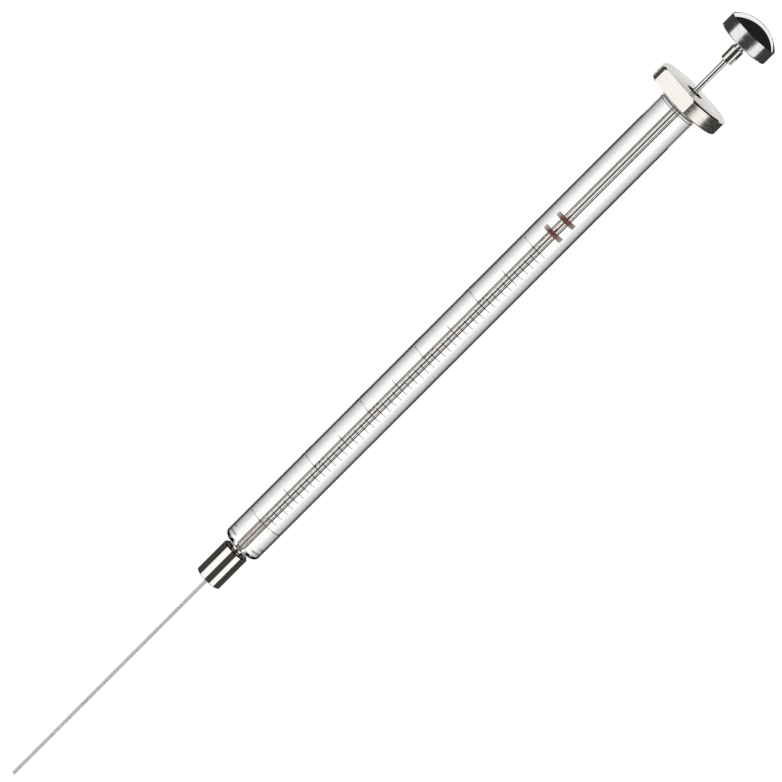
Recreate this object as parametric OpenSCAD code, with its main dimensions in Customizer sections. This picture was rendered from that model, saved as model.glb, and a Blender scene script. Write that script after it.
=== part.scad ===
// Microsyringe, 50 microlitre, with a removable needle.
// Lengths are in millimetres.
// The axis of the syringe is X: the needle's tip is at x = 0 and the button is at the far end.
// +Z is square to the two flats of the finger flange, so a flat is the side it lies on.

/* [Capacity] */
// Volume between the first and the last line of the scale, in microlitres
capacity_ul = 50; // [40:1:100]
// Distance between the first and the last line of the scale
scale_length = 60; // [50:0.5:70]
// Number of spaces between the lines
divisions = 50; // [20:10:100]
// Spaces from one medium line to the next
medium_every = 5; // [2:1:5]
// Spaces from one long line to the next
long_every = 10; // [4:1:20]

/* [Glass barrel] */
// Outer diameter of the glass tube
barrel_d = 6.5; // [5.6:0.1:8]
// Radius of the fire-polished shoulder at the front end
shoulder_r = 1.3; // [0.4:0.1:1.8]
// Glass in front of the first line of the scale
front_length = 5.96; // [5:0.02:10]
// Glass between the last line of the scale and the flange
rear_length = 31.14; // [20:0.02:45]
// Depth ground off the rear end of the glass, where it is cemented
ground_depth = 0.25; // [0.05:0.01:0.4]

/* [Printing] */
// Thickness of the fired ink
ink_t = 0.03; // [0.01:0.01:0.08]
// Width of a scale line
line_w = 0.22; // [0.1:0.02:0.4]
// Angle round the barrel at which every line ends
line_end_angle = 55.6; // [40:0.1:80]
// Angle round the barrel taken by a short line
short_line_angle = 34.7; // [15:0.1:60]
// Angle round the barrel taken by a medium line
medium_line_angle = 58.5; // [30:0.1:90]
// Angle round the barrel taken by a long line
long_line_angle = 87.3; // [45:0.1:120]
// Angle round the barrel taken by the first line
zero_line_angle = 132; // [60:1:180]
// Distance from the last line of the scale to the two coloured bars
mark_offset = 3.2; // [2:0.1:8]
// Length of each coloured bar along the barrel
mark_length = 0.8; // [0.4:0.1:3]
// Space between the two coloured bars
mark_gap = 2; // [0.4:0.1:3]
// Angle round the barrel taken by a coloured bar
mark_angle = 62; // [20:1:100]

/* [Needle] */
// Needle in front of the nut
needle_reach = 43.8; // [20:0.1:70]
// Outer diameter of the needle
needle_d = 0.5; // [0.4:0.01:0.6]
// Inner diameter of the needle
needle_bore_d = 0.15; // [0.1:0.01:0.25]
// Clearance between the needle and the holes that it passes
needle_clearance = 0.025; // [0.01:0.005:0.05]
// Diameter of the collar that is crimped on the needle
ferrule_d = 3.2; // [2.2:0.1:3.4]
// Thickness of the crimped collar's rim
ferrule_rim_t = 0.6; // [0.3:0.05:0.8]
// Diameter of the crimped collar's sleeve in front of its rim
ferrule_sleeve_d = 1.2; // [0.9:0.05:1.8]
// Thickness of the sealing washer
washer_t = 0.6; // [0.3:0.05:0.9]

/* [Needle nut and nipple] */
// Outer diameter of the nipple's thread
thread_d = 3.4; // [3.1:0.05:4.2]
// Radial clearance between the nut and the thread
thread_clearance = 0.05; // [0.02:0.01:0.1]
// Wall of the nut round the thread
nut_wall = 0.52; // [0.3:0.02:1]
// Length of the nut
nut_length = 6.36; // [5:0.02:9]
// Wall at the front of the nut
nut_front_t = 1; // [0.6:0.1:1.5]
// Chamfer on the nut's front edge
nut_front_chamfer = 0.08; // [0.02:0.01:0.4]
// Chamfer on the nut's back edge
nut_back_chamfer = 0.22; // [0.05:0.01:0.4]
// Chamfer where the nipple's thread starts
thread_chamfer = 0.2; // [0.05:0.05:0.4]
// Diameter of the nipple's neck, which seats on the glass
nipple_neck_d = 2.4; // [1.8:0.05:3]
// Length of the neck inside the nut
nipple_neck_inside = 0.9; // [0.3:0.1:1.5]
// Gap between the tightened nut and the glass
nut_gap = 0.64; // [0.1:0.02:1]
// Distance from the end of the nipple in the bore to the first line
dead_length = 0.1; // [0.05:0.01:0.4]
// Distance that the needle stops short of the end of the nipple
needle_setback = 0.2; // [0.05:0.05:0.6]
// Thickness of the cement in each glued joint
cement_t = 0.05; // [0.02:0.01:0.1]

/* [Finger flange] */
// Diameter of the flange
flange_d = 13; // [11:0.1:18]
// Thickness of the flange
flange_t = 2.6; // [2:0.1:4]
// Distance across the two flats
flange_flats = 10.86; // [9.5:0.02:12]
// Chamfer on the flange's edges
flange_chamfer = 0.15; // [0.05:0.01:0.4]
// Wall between the end of the glass and the back of the flange
flange_back_t = 1; // [0.6:0.1:1.6]
// Diameter of the hole that the plunger passes
rod_hole_d = 2.7; // [1.8:0.1:4]
// Length of the bead of cement in front of the flange
bead_length = 1.3; // [0.3:0.05:2]
// Height of the bead of cement over the glass
bead_rise = 0.45; // [0.1:0.05:0.8]

/* [Plunger] */
// Radial clearance between the plunger rod and the bore
rod_clearance = 0.015; // [0.01:0.001:0.03]
// Rod that shows behind the flange with the plunger pressed home
rod_showing = 6.7; // [3:0.1:15]
// Chamfer on the tip of the rod
rod_chamfer = 0.05; // [0.02:0.01:0.1]
// Wall of the collar round the rod
collar_wall = 0.55; // [0.3:0.05:1]
// Length of the collar
collar_length = 2.7; // [1.5:0.1:5]
// Depth of the hole that holds the rod in the collar
collar_hole_depth = 2.2; // [0.8:0.1:2.4]
// Diameter of the neck between the collar and the button
neck_d = 1.56; // [1.3:0.02:2]
// Length of the neck
neck_length = 0.9; // [0.4:0.1:2]
// Diameter of the stub that is pressed into the button
stub_d = 1.2; // [0.8:0.05:1.3]
// Length of the stub that is pressed into the button
stub_length = 1.8; // [1:0.1:3]

/* [Button] */
// Diameter of the button
button_d = 8.7; // [6:0.1:14]
// Height of the button's straight side
button_side = 2.5; // [1.2:0.1:5]
// Height of the button's dome
dome_height = 1.85; // [0.6:0.05:3]
// Radius of the edge under the button
button_edge_r = 0.3; // [0.1:0.05:0.6]

/* [Hidden] */
$fn = 96;

// the bore that holds the stated volume over the stated length
bore_d = 2 * sqrt(capacity_ul / (PI * scale_length));
rod_d = bore_d - 2 * rod_clearance;

// stations along the axis, from the tip of the needle
nut_x = needle_reach;
nut_back_x = nut_x + nut_length;
glass_x = nut_back_x + nut_gap;
zero_x = glass_x + front_length;
full_x = zero_x + scale_length;
flange_x = full_x + rear_length;
flange_back_x = flange_x + flange_t;
glass_end_x = flange_back_x - flange_back_t;
bead_x = flange_x - bead_length;
collar_x = flange_back_x + rod_showing;
neck_x = collar_x + collar_length;
button_x = neck_x + neck_length;

// inside the nut, from its front wall to the end of the thread
ferrule_x = nut_x + nut_front_t;
washer_x = ferrule_x + ferrule_rim_t;
thread_x = washer_x + washer_t;
nipple_neck_x = nut_back_x - nipple_neck_inside;
nipple_end_x = zero_x - dead_length;
needle_end_x = nipple_end_x - needle_setback;

nut_bore_d = thread_d + 2 * thread_clearance;
nut_d = nut_bore_d + 2 * nut_wall;
needle_hole_d = needle_d + 2 * needle_clearance;
sleeve_hole_d = ferrule_sleeve_d + 2 * needle_clearance;
spigot_d = bore_d - 2 * cement_t;
ground_d = barrel_d - 2 * ground_depth;
socket_d = ground_d + 2 * cement_t;
collar_d = rod_d + 2 * collar_wall;
dome_r = (pow(button_d / 2, 2) + pow(dome_height, 2)) / (2 * dome_height);

// a little more than a cut needs, so that it runs out of the far side
through = 1;

// turns a half outline about the axis: in it x is the radius and y the distance along the axis
module turned() {
    rotate([0, 90, 0])
        rotate_extrude()
            children();
}

// a round bar from one station to another
module bar(d, from, to) {
    translate([from, 0, 0])
        rotate([0, 90, 0])
            cylinder(d = d, h = to - from);
}

// half outline of a round bar with a chamfer at each end
module chamfered_half(d, from, to, front, back) {
    polygon([
        [0, from],
        [d / 2 - front, from],
        [d / 2, from + front],
        [d / 2, to - back],
        [d / 2 - back, to],
        [0, to]
    ]);
}

// a band of ink round part of the barrel; its angle runs from +Z towards -Y
module ink_band(from_angle, angle, at, width) {
    rotate([0, 90, 0])
        rotate([0, 0, 180 + from_angle])
            rotate_extrude(angle = angle)
                translate([barrel_d / 2, at - width / 2])
                    square([ink_t, width]);
}

module needle() {
    color("silver")
        difference() {
            bar(needle_d, 0, needle_end_x);
            bar(needle_bore_d, -through, needle_end_x + through);
        }
}

// the collar is crimped on the needle and drops into a recess in the nut's front wall
module needle_ferrule() {
    color("goldenrod")
        difference() {
            union() {
                bar(ferrule_d, ferrule_x, washer_x);
                bar(ferrule_sleeve_d, nut_x + nut_front_t / 2, washer_x);
            }
            bar(needle_d, nut_x, washer_x + through);
        }
}

module seal_washer() {
    color("white")
        difference() {
            bar(ferrule_d, washer_x, thread_x);
            bar(needle_hole_d, washer_x - through, thread_x + through);
        }
}

module needle_nut() {
    color("lightgray")
        difference() {
            turned()
                chamfered_half(nut_d, nut_x, nut_back_x, nut_front_chamfer, nut_back_chamfer);
            bar(nut_bore_d, ferrule_x, nut_back_x + through);
            bar(sleeve_hole_d, nut_x + nut_front_t / 2 - needle_clearance, nut_back_x);
            bar(needle_hole_d, nut_x - through, nut_back_x);
        }
}

// threaded stud, neck that seats on the glass and spigot in the bore, turned from one piece
module front_nipple() {
    color("silver")
        difference() {
            union() {
                turned()
                    chamfered_half(thread_d, thread_x, nipple_neck_x, thread_chamfer, thread_chamfer);
                bar(nipple_neck_d, nipple_neck_x - thread_chamfer, glass_x);
                bar(spigot_d, glass_x - thread_chamfer, nipple_end_x);
            }
            bar(needle_hole_d, thread_x - through, nipple_end_x + through);
        }
}

module nipple_cement() {
    color("tan")
        difference() {
            bar(bore_d, glass_x, nipple_end_x);
            bar(spigot_d, glass_x - through, nipple_end_x + through);
        }
}

module glass_barrel() {
    color([0.8, 0.9, 0.92, 0.4])
        difference() {
            turned() {
                translate([0, glass_x])
                    square([barrel_d / 2 - shoulder_r, bead_x - glass_x]);
                translate([0, glass_x + shoulder_r])
                    square([barrel_d / 2, bead_x - glass_x - shoulder_r]);
                translate([0, bead_x - shoulder_r])
                    square([ground_d / 2, glass_end_x - bead_x + shoulder_r]);
                translate([barrel_d / 2 - shoulder_r, glass_x + shoulder_r])
                    circle(r = shoulder_r);
            }
            bar(bore_d, glass_x - through, glass_end_x + through);
        }
}

// the first line runs on past the angle at which all the others end
module scale_print() {
    color("dimgray") {
        ink_band(line_end_angle - long_line_angle, zero_line_angle, zero_x, line_w);
        for (i = [1 : divisions]) {
            angle = i % long_every == 0 ? long_line_angle
                : i % medium_every == 0 ? medium_line_angle
                : short_line_angle;
            ink_band(line_end_angle - angle, angle, zero_x + i * scale_length / divisions, line_w);
        }
    }
}

// two plain bars past the end of the scale
module mark_print() {
    color("firebrick")
        for (i = [0, 1])
            ink_band(
                line_end_angle - mark_angle,
                mark_angle,
                full_x + mark_offset + mark_length / 2 + i * (mark_length + mark_gap),
                mark_length
            );
}

// cement round the end of the glass, with a bead that shows in front of the flange
module flange_cement() {
    color("tan")
        turned()
            polygon([
                [ground_d / 2, bead_x],
                [barrel_d / 2, bead_x],
                [barrel_d / 2 + bead_rise, flange_x],
                [socket_d / 2, flange_x],
                [socket_d / 2, glass_end_x],
                [ground_d / 2, glass_end_x]
            ]);
}

module finger_flange() {
    color("gainsboro")
        difference() {
            intersection() {
                turned()
                    chamfered_half(flange_d, flange_x, flange_back_x, flange_chamfer, flange_chamfer);
                translate([flange_x - through, -flange_d, -flange_flats / 2])
                    cube([flange_t + 2 * through, 2 * flange_d, flange_flats]);
            }
            bar(socket_d, flange_x - through, glass_end_x);
            bar(rod_hole_d, flange_x, flange_back_x + through);
        }
}

module plunger_rod() {
    color("silver")
        turned()
            chamfered_half(rod_d, zero_x, collar_x + collar_hole_depth, rod_chamfer, 0);
}

module rod_collar() {
    color("silver")
        difference() {
            union() {
                turned()
                    chamfered_half(collar_d, collar_x, neck_x, rod_chamfer * 2, rod_chamfer * 2);
                bar(neck_d, neck_x - rod_chamfer, button_x);
                bar(stub_d, button_x, button_x + stub_length);
            }
            bar(rod_d, collar_x - through, collar_x + collar_hole_depth);
        }
}

module button() {
    color("lightgray")
        difference() {
            turned() {
                translate([0, button_x])
                    square([button_d / 2 - button_edge_r, button_side]);
                translate([0, button_x + button_edge_r])
                    square([button_d / 2, button_side - button_edge_r]);
                translate([button_d / 2 - button_edge_r, button_x + button_edge_r])
                    circle(r = button_edge_r);
                intersection() {
                    translate([0, button_x + button_side + dome_height - dome_r])
                        circle(r = dome_r);
                    translate([0, button_x + button_side - through])
                        square([button_d / 2, dome_height + through]);
                }
            }
            bar(stub_d, button_x - through, button_x + stub_length);
        }
}

needle();
needle_ferrule();
seal_washer();
needle_nut();
front_nipple();
nipple_cement();
glass_barrel();
scale_print();
mark_print();
flange_cement();
finger_flange();
plunger_rod();
rod_collar();
button();
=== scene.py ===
import math

import bmesh
import bpy
from mathutils import Matrix, Vector


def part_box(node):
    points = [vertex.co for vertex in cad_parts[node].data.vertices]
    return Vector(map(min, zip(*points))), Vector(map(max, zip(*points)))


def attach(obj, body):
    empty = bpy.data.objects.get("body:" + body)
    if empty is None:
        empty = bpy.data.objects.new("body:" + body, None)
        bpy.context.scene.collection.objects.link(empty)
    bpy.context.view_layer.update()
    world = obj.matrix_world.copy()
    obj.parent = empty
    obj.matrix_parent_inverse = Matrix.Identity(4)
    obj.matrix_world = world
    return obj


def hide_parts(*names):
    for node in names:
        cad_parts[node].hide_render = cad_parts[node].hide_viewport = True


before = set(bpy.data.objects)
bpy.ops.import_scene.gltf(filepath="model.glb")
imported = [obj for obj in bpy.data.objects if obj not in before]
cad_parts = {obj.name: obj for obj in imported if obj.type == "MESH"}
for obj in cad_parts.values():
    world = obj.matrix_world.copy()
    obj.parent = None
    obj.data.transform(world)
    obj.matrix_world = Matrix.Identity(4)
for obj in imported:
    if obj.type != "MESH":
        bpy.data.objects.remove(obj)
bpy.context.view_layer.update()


# ---------------------------------------------------------------------------
# Table, backdrop and camera. The syringe lies on one flat of its finger flange
# on a white table, under one large soft light overhead and a strip along the front.

MM = 0.001


def linear(colour):
    """An sRGB hex colour as linear RGBA."""
    channels = [int(colour[i:i + 2], 16) / 255 for i in (1, 3, 5)]
    return tuple(c / 12.92 if c <= 0.04045 else ((c + 0.055) / 1.055) ** 2.4 for c in channels) + (1,)


def add(tree, kind, inputs=None, stops=(), **settings):
    """Adds a node. An input is set to a value, or linked to a socket or to a node's first output.
    stops are the positions and colours of a colour ramp, in order."""
    made = tree.nodes.new(kind)
    for name, value in settings.items():
        setattr(made, name, value)
    for name, value in (inputs or {}).items():
        if isinstance(value, bpy.types.Node):
            value = next(socket for socket in value.outputs if socket.enabled)
        if isinstance(value, bpy.types.NodeSocket):
            tree.links.new(value, made.inputs[name])
        else:
            made.inputs[name].default_value = value
    for i, (position, colour) in enumerate(stops):
        ramp = made.color_ramp.elements
        stop = ramp[i] if i < 2 else ramp.new(position)
        stop.position = position
        stop.color = colour
    return made


def new_material(name):
    """An empty node material and its tree."""
    material = bpy.data.materials.new(name)
    material.use_nodes = True
    material.node_tree.nodes.clear()
    return material, material.node_tree


def mesh_object(name, mesh, material=None):
    """An object for a mesh, in the scene."""
    made = bpy.data.objects.new(name, mesh)
    bpy.context.scene.collection.objects.link(made)
    if material:
        mesh.materials.append(material)
    return made


def seen_directly(tree):
    """1 where the camera, a mirror or clear glass looks, and 0 for light that only falls on things."""
    ray = add(tree, "ShaderNodeLightPath").outputs
    seen = add(tree, "ShaderNodeMath", {0: ray["Is Camera Ray"], 1: ray["Is Glossy Ray"]},
               operation="MAXIMUM")
    return add(tree, "ShaderNodeMath", {0: seen, 1: ray["Is Transmission Ray"]}, operation="MAXIMUM")


TABLE_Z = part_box("finger_flange")[0].z
scene = bpy.context.scene
scene.view_settings.view_transform = "Standard"

# the world is white to the eye, in metal and through glass, and a soft fill on everything else
FILL = 0.50
world = bpy.data.worlds.new("soft_white_room")
scene.world = world
world.use_nodes = True
world.node_tree.nodes.clear()
tree = world.node_tree
strength = add(tree, "ShaderNodeMapRange", {"Value": seen_directly(tree), "To Min": FILL, "To Max": 1.0})
sky = add(tree, "ShaderNodeBackground", {"Color": (1, 1, 1, 1), "Strength": strength})
add(tree, "ShaderNodeOutputWorld", {"Surface": sky})

# the table top shows white, and keeps a faint share of its own light and shade for the shadow;
# its grain is clouds about 70 mm wide
TABLE_SHARE = 0.22
TABLE_GLOW = 0.94
table_white, tree = new_material("white_table_laminate")
grain = add(tree, "ShaderNodeTexNoise", {"Scale": 60.0, "Detail": 3.0})
pale = add(tree, "ShaderNodeMix", {"Factor": grain, "A": linear("#eeeeec"), "B": linear("#f4f4f2")},
           data_type="RGBA")
shade = add(tree, "ShaderNodeBsdfDiffuse", {"Color": pale})
shown_share = add(tree, "ShaderNodeBsdfDiffuse", {"Color": (TABLE_SHARE, TABLE_SHARE, TABLE_SHARE, 1)})
glow = add(tree, "ShaderNodeEmission", {"Color": (1, 1, 1, 1), "Strength": TABLE_GLOW})
shown = add(tree, "ShaderNodeAddShader", {0: shown_share, 1: glow})
surface = add(tree, "ShaderNodeMixShader", {0: seen_directly(tree), 1: shade, 2: shown})
add(tree, "ShaderNodeOutputMaterial", {"Surface": surface})


def sheet_mesh(name, corners, faces=None):
    """A mesh of flat faces, or of one face through all its corners, in metres."""
    mesh = bpy.data.meshes.new(name)
    mesh.from_pydata(corners, [], faces or [tuple(range(len(corners)))])
    return mesh


def level_rectangle(x0, x1, y0, y1, z):
    """The corners of a rectangle at one height."""
    return [(x0, y0, z), (x1, y0, z), (x1, y1, z), (x0, y1, z)]


table = mesh_object("table", sheet_mesh("table", level_rectangle(-2.0, 2.2, -2.0, 2.0, TABLE_Z)), table_white)


# flags: dark cloth that only polished metal or clear glass picks up
def flag_cloth(name, colour, folds):
    """Dark cloth that gives off only the little light that it would send back."""
    material, tree = new_material(name)
    drape = add(tree, "ShaderNodeTexNoise", {"Scale": 9.0})
    dark = add(tree, "ShaderNodeMix", {"Factor": drape, "A": linear(colour), "B": linear(folds)},
               data_type="RGBA")
    cloth = add(tree, "ShaderNodeEmission", {"Color": dark, "Strength": 1.0})
    add(tree, "ShaderNodeOutputMaterial", {"Surface": cloth})
    return material


# grey felt for the dark band along turned metal, a paler one for the rod in the bore,
# and black velvet at the end, which the polished dome picks up
grey_felt = flag_cloth("grey_felt", "#393837", "#454443")
pale_felt = flag_cloth("pale_felt", "#5c5854", "#67635f")
black_velvet = flag_cloth("black_velvet", "#1d1c1b", "#2a2827")


def flag(name, corners, cloth, faces=None, in_metal=True, through_glass=False):
    """A flag that the camera, the lamps and plain surfaces don't see."""
    made = mesh_object(name, sheet_mesh(name, corners, faces), cloth)
    made.visible_camera = False
    made.visible_diffuse = False
    made.visible_shadow = False
    made.visible_glossy = in_metal
    made.visible_transmission = through_glass


def curtain(x0, x1, radius, start, end, steps=24):
    """Corners and faces of a curtain round the syringe's axis. Its angles run from straight up
    towards the front, in degrees."""
    corners, faces = [], []
    for i in range(steps + 1):
        a = math.radians(start + (end - start) * i / steps)
        y, z = -radius * math.sin(a), radius * math.cos(a)
        corners += [(x0, y, z), (x1, y, z)]
        if i:
            faces.append((2 * i - 2, 2 * i - 1, 2 * i + 1, 2 * i))
    return corners, faces


# curtains, as x from and to, radius, and angle from and to: overhead for metal, overhead for the rod
# as it shows through the glass, a wider one that the collar and the button mirror, and the back wall
OVERHEAD = (-1.4, 1.0, 0.75, 6.0, 56.9)
for name, cloth, for_metal, sizes in (
        ("roof_flag", grey_felt, True, OVERHEAD),
        ("bore_flag", pale_felt, False, OVERHEAD),
        ("roof_flag_end", grey_felt, True, (0.0070, 0.09, 0.74, 1.0, 65.0)),
        ("back_flag", grey_felt, True, (-1.4, 0.9, 0.55, -91.0, -46.5))):
    corners, faces = curtain(*sizes)
    flag(name, corners, cloth, faces, in_metal=for_metal, through_glass=not for_metal)

# the end wall
WALL_X, WALL_FRONT, WALL_BACK, WALL_TOP = 0.60, -0.30, 0.75, 0.16
flag("end_flag", [(WALL_X, WALL_FRONT, TABLE_Z), (WALL_X, WALL_BACK, TABLE_Z),
                  (WALL_X, WALL_BACK, WALL_TOP), (WALL_X, WALL_FRONT, WALL_TOP)], black_velvet)

# cloth on the table beside the syringe, with a bare patch that the flange and the button mirror white
FLAG_Z = TABLE_Z + 0.3 * MM
CLOTH_START, CLOTH_FRONT, CLOTH_BACK = -0.30, -0.045, 0.55
PATCH_X, PATCH_END_X = 0.141, 0.1575
PATCH_FRONT, PATCH_FACE, PATCH_BACK = -0.0048, -0.0075, 0.021
FACE_X = 0.1505
BUTTON_X = 0.1652
for name, x0, x1, y0, y1 in (
        ("long", CLOTH_START, PATCH_X, CLOTH_FRONT, CLOTH_BACK),
        ("rim", PATCH_X, FACE_X, CLOTH_FRONT, PATCH_FRONT),
        ("face", FACE_X, BUTTON_X, CLOTH_FRONT, PATCH_FACE),
        ("button", PATCH_END_X, BUTTON_X, PATCH_FACE, PATCH_BACK),
        ("back", PATCH_X, BUTTON_X, PATCH_BACK, CLOTH_BACK)):
    flag("table_flag_" + name, level_rectangle(x0, x1, y0, y1, FLAG_Z), grey_felt)

# past the button the cloth is cut back in a curve, so that its dome mirrors a sliver of white table,
# and a small disc of painted shade under it, standing in for the button's contact shadow, keeps that sliver
# off the very edge of the dome
CUT_X, CUT_Y, CUT_R, CUT_END_Y = 0.140, 0.0206, 0.0365, 0.024
CUT_STEPS = 24
END_X, END_FRONT = 0.70, -0.40
first, last = -math.acos((BUTTON_X - CUT_X) / CUT_R), math.asin((CUT_END_Y - CUT_Y) / CUT_R)
angles = [first + (last - first) * i / CUT_STEPS for i in range(CUT_STEPS + 1)]
corners = [(CUT_X + CUT_R * math.cos(a), CUT_Y + CUT_R * math.sin(a), FLAG_Z) for a in angles]
corners += [(BUTTON_X, CUT_END_Y, FLAG_Z), (BUTTON_X, CLOTH_BACK, FLAG_Z), (END_X, CLOTH_BACK, FLAG_Z),
            (END_X, END_FRONT, FLAG_Z), (BUTTON_X, END_FRONT, FLAG_Z)]
flag("table_flag_end", corners, black_velvet)
# painted shade: a dark disc in place of the button's contact shadow on the table
DISC_X, DISC_Y, DISC_R, DISC_SIDES = 0.160, 0.003, 0.0063, 48
angles = [2 * math.pi * i / DISC_SIDES for i in range(DISC_SIDES)]
corners = [(DISC_X + DISC_R * math.cos(a), DISC_Y + DISC_R * math.sin(a), FLAG_Z) for a in angles]
flag("painted_contact_shadow_disc", corners, black_velvet)


def soft_light(name, power, size_x, size_y, spot, aim):
    """A large rectangular lamp, aimed at a point, that the camera doesn't see."""
    lamp = bpy.data.lights.new(name, "AREA")
    lamp.shape = "RECTANGLE"
    lamp.size = size_x
    lamp.size_y = size_y
    lamp.energy = power
    made = bpy.data.objects.new(name, lamp)
    made.location = spot
    forward = Vector(aim) - Vector(spot)
    across = Vector((1, 0, 0))
    up = forward.cross(across).normalized()
    turn = Matrix((across, up, across.cross(up))).transposed()
    made.rotation_euler = turn.to_euler()
    made.visible_camera = False
    made.visible_glossy = False
    made.visible_transmission = False
    scene.collection.objects.link(made)


soft_light("overhead_softbox", 1.75, 1.0, 0.46, (0.06, 0.18, 0.47), (0.08, 0.0, 0.0))
soft_light("front_strip", 0.9, 0.8, 0.30, (0.06, -0.50, 0.14), (0.08, 0.0, 0.0))

# the camera looks down on the syringe from the front, with the needle to the lower left
TILT = math.radians(24.9)
LEAN = math.radians(11.5)
DISTANCE = 1.221
LENS = 368.3
AIM_X, AIM_SIDE = 0.08485, 0.000511
level = Vector((0, -math.sin(TILT), math.cos(TILT)))
across = Vector((1, 0, 0)).cross(level)
back = math.sin(LEAN) * Vector((1, 0, 0)) + math.cos(LEAN) * level
along = (Vector((1, 0, 0)) - back.x * back).normalized()
right = (along + across) / math.sqrt(2)
up = (along - across) / math.sqrt(2)
target = Vector((AIM_X, 0, 0)) - AIM_SIDE * across
camera_data = bpy.data.cameras.new("camera")
camera_data.lens = LENS
camera_data.sensor_width = 36
camera_data.clip_start = 0.05
camera_data.clip_end = 20
camera = bpy.data.objects.new("camera", camera_data)
turn = Matrix((right, up, back)).transposed().to_4x4()
camera.matrix_world = Matrix.Translation(target + DISTANCE * back) @ turn
scene.collection.objects.link(camera)
scene.camera = camera


# ---------------------------------------------------------------------------
# Needle: stainless steel tube, drawn down to 0.5 mm, cut square and deburred.
# It is crimped into the brass ferrule and passes through the washer into the nipple.

NEEDLE_D = 0.5
NEEDLE_BORE_D = 0.15
DEBURR = 0.03
TIP_ROUND = 0.04


def arc(x, r, radius, start, end, steps):
    """Points (x, r) of an arc, in mm. Its angle runs from +x towards +r, in degrees."""
    angles = [math.radians(start + (end - start) * i / steps) for i in range(steps + 1)]
    return [(x + radius * math.cos(a), r + radius * math.sin(a)) for a in angles]


def lathe(name, outline, around=128, sharp=35, closed=True):
    """Turns an outline of (x, r) points, in mm, about the syringe's axis into a smooth-shaded mesh."""
    turned = bmesh.new()
    rings = []
    for i in range(around):
        a = 2 * math.pi * i / around
        rings.append([turned.verts.new((x * MM, r * MM * math.sin(a), r * MM * math.cos(a)))
                      for x, r in outline])
    for i in range(around):
        here, there = rings[i], rings[(i + 1) % around]
        for j in range(len(outline) if closed else len(outline) - 1):
            k = (j + 1) % len(outline)
            if outline[j][1] > 0 or outline[k][1] > 0:
                turned.faces.new((here[j], here[k], there[k], there[j]))
    bmesh.ops.remove_doubles(turned, verts=turned.verts, dist=1e-9)
    bmesh.ops.recalc_face_normals(turned, faces=turned.faces)
    mesh = bpy.data.meshes.new(name)
    turned.to_mesh(mesh)
    turned.free()
    mesh.shade_smooth()
    mesh.set_sharp_from_angle(angle=math.radians(sharp))
    return mesh


def place(piece, body, slot, *replaced):
    """Hangs a finished piece on its body, in place of the nodes that it stands for."""
    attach(piece, body)
    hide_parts(*replaced)


def metal(name, colour, tint, rough, rough_worn, line_mm, line_depth_mm, drawn=False, specks=0.0):
    """Bare or plated metal with fine tool lines: round a turned piece, or along a drawn one.
    line_mm is the spacing of the lines, and specks the strength of small stains."""
    material, tree = new_material(name)
    place_of = add(tree, "ShaderNodeTexCoord").outputs["Object"]
    to_mm = add(tree, "ShaderNodeMapping", {"Vector": place_of, "Scale": (1 / MM, 1 / MM, 1 / MM)})
    # a line holds for about 8 mm along a drawn piece and 4 mm round a turned one
    across_lines = 1 / line_mm
    stretch = (0.12, across_lines, across_lines) if drawn else (across_lines, 0.25, 0.25)
    stretched = add(tree, "ShaderNodeMapping", {"Vector": to_mm, "Scale": stretch})
    lines = add(tree, "ShaderNodeTexNoise", {"Vector": stretched, "Scale": 1.0, "Detail": 2.0})
    # clouds 1.4 mm wide in the tone, and stains of a sixth of a millimetre
    cloud = add(tree, "ShaderNodeTexNoise", {"Vector": to_mm, "Scale": 0.7, "Detail": 3.0})
    stain = add(tree, "ShaderNodeTexNoise", {"Vector": to_mm, "Scale": 6.0, "Detail": 4.0, "Roughness": 0.7})
    shade = add(tree, "ShaderNodeMix", {"Factor": cloud, "A": linear(colour), "B": linear(tint)},
                data_type="RGBA")
    spotted = add(tree, "ShaderNodeMapRange", {"Value": stain, "From Min": 0.55, "From Max": 0.80,
                                               "To Min": 0.0, "To Max": specks})
    dulled = add(tree, "ShaderNodeMix", {"Factor": spotted, "A": shade, "B": linear("#5c5650")},
                 data_type="RGBA")
    roughness = add(tree, "ShaderNodeMapRange", {"Value": lines, "From Min": 0.3, "From Max": 0.7,
                                                 "To Min": rough, "To Max": rough_worn})
    bump = add(tree, "ShaderNodeBump", {"Height": lines, "Strength": 1.0, "Distance": line_depth_mm * MM})
    shader = add(tree, "ShaderNodeBsdfPrincipled", {"Base Color": dulled, "Metallic": 1.0,
                                                    "Roughness": roughness, "Normal": bump})
    add(tree, "ShaderNodeOutputMaterial", {"Surface": shader})
    return material


# drawn stainless steel: die lines along the tube, which blur reflections across it only a little
needle_steel = metal("stainless_steel_drawn", "#fffefb", "#faf8f4", 0.50, 0.60, 0.06, 0.0001, drawn=True)
needle_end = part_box("needle")[1].x / MM
needle = mesh_object("needle_tube", lathe("needle_tube", [
    (DEBURR, NEEDLE_BORE_D / 2),
    (0.0, NEEDLE_BORE_D / 2 + DEBURR),
    *arc(TIP_ROUND, NEEDLE_D / 2 - TIP_ROUND, TIP_ROUND, 180, 90, 4),
    (needle_end - DEBURR, NEEDLE_D / 2),
    (needle_end, NEEDLE_D / 2 - DEBURR),
    (needle_end, NEEDLE_BORE_D / 2),
], around=64), needle_steel)
place(needle, "needle", "needle_steel", "needle")


# ---------------------------------------------------------------------------
# Ferrule and washer: a brass ferrule crimped on the needle, with a rim that the nut
# pushes against, and a PTFE washer that seals it to the end of the nipple.

ferrule_box, washer_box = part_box("needle_ferrule"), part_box("seal_washer")
ferrule_x0, ferrule_x1 = ferrule_box[0].x / MM, ferrule_box[1].x / MM
washer_x1 = washer_box[1].x / MM
FERRULE_R = ferrule_box[1].y / MM
SLEEVE_R = 0.6
SLEEVE_EDGE = 0.08
RIM_T = 0.6
RIM_EDGE = 0.06
# the crimp bites into the needle, and the washer and the nut clear what passes through them
CRIMPED_R = NEEDLE_D / 2 - 0.005
CLEARANCE = 0.025
NEEDLE_HOLE_R = NEEDLE_D / 2 + CLEARANCE

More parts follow.
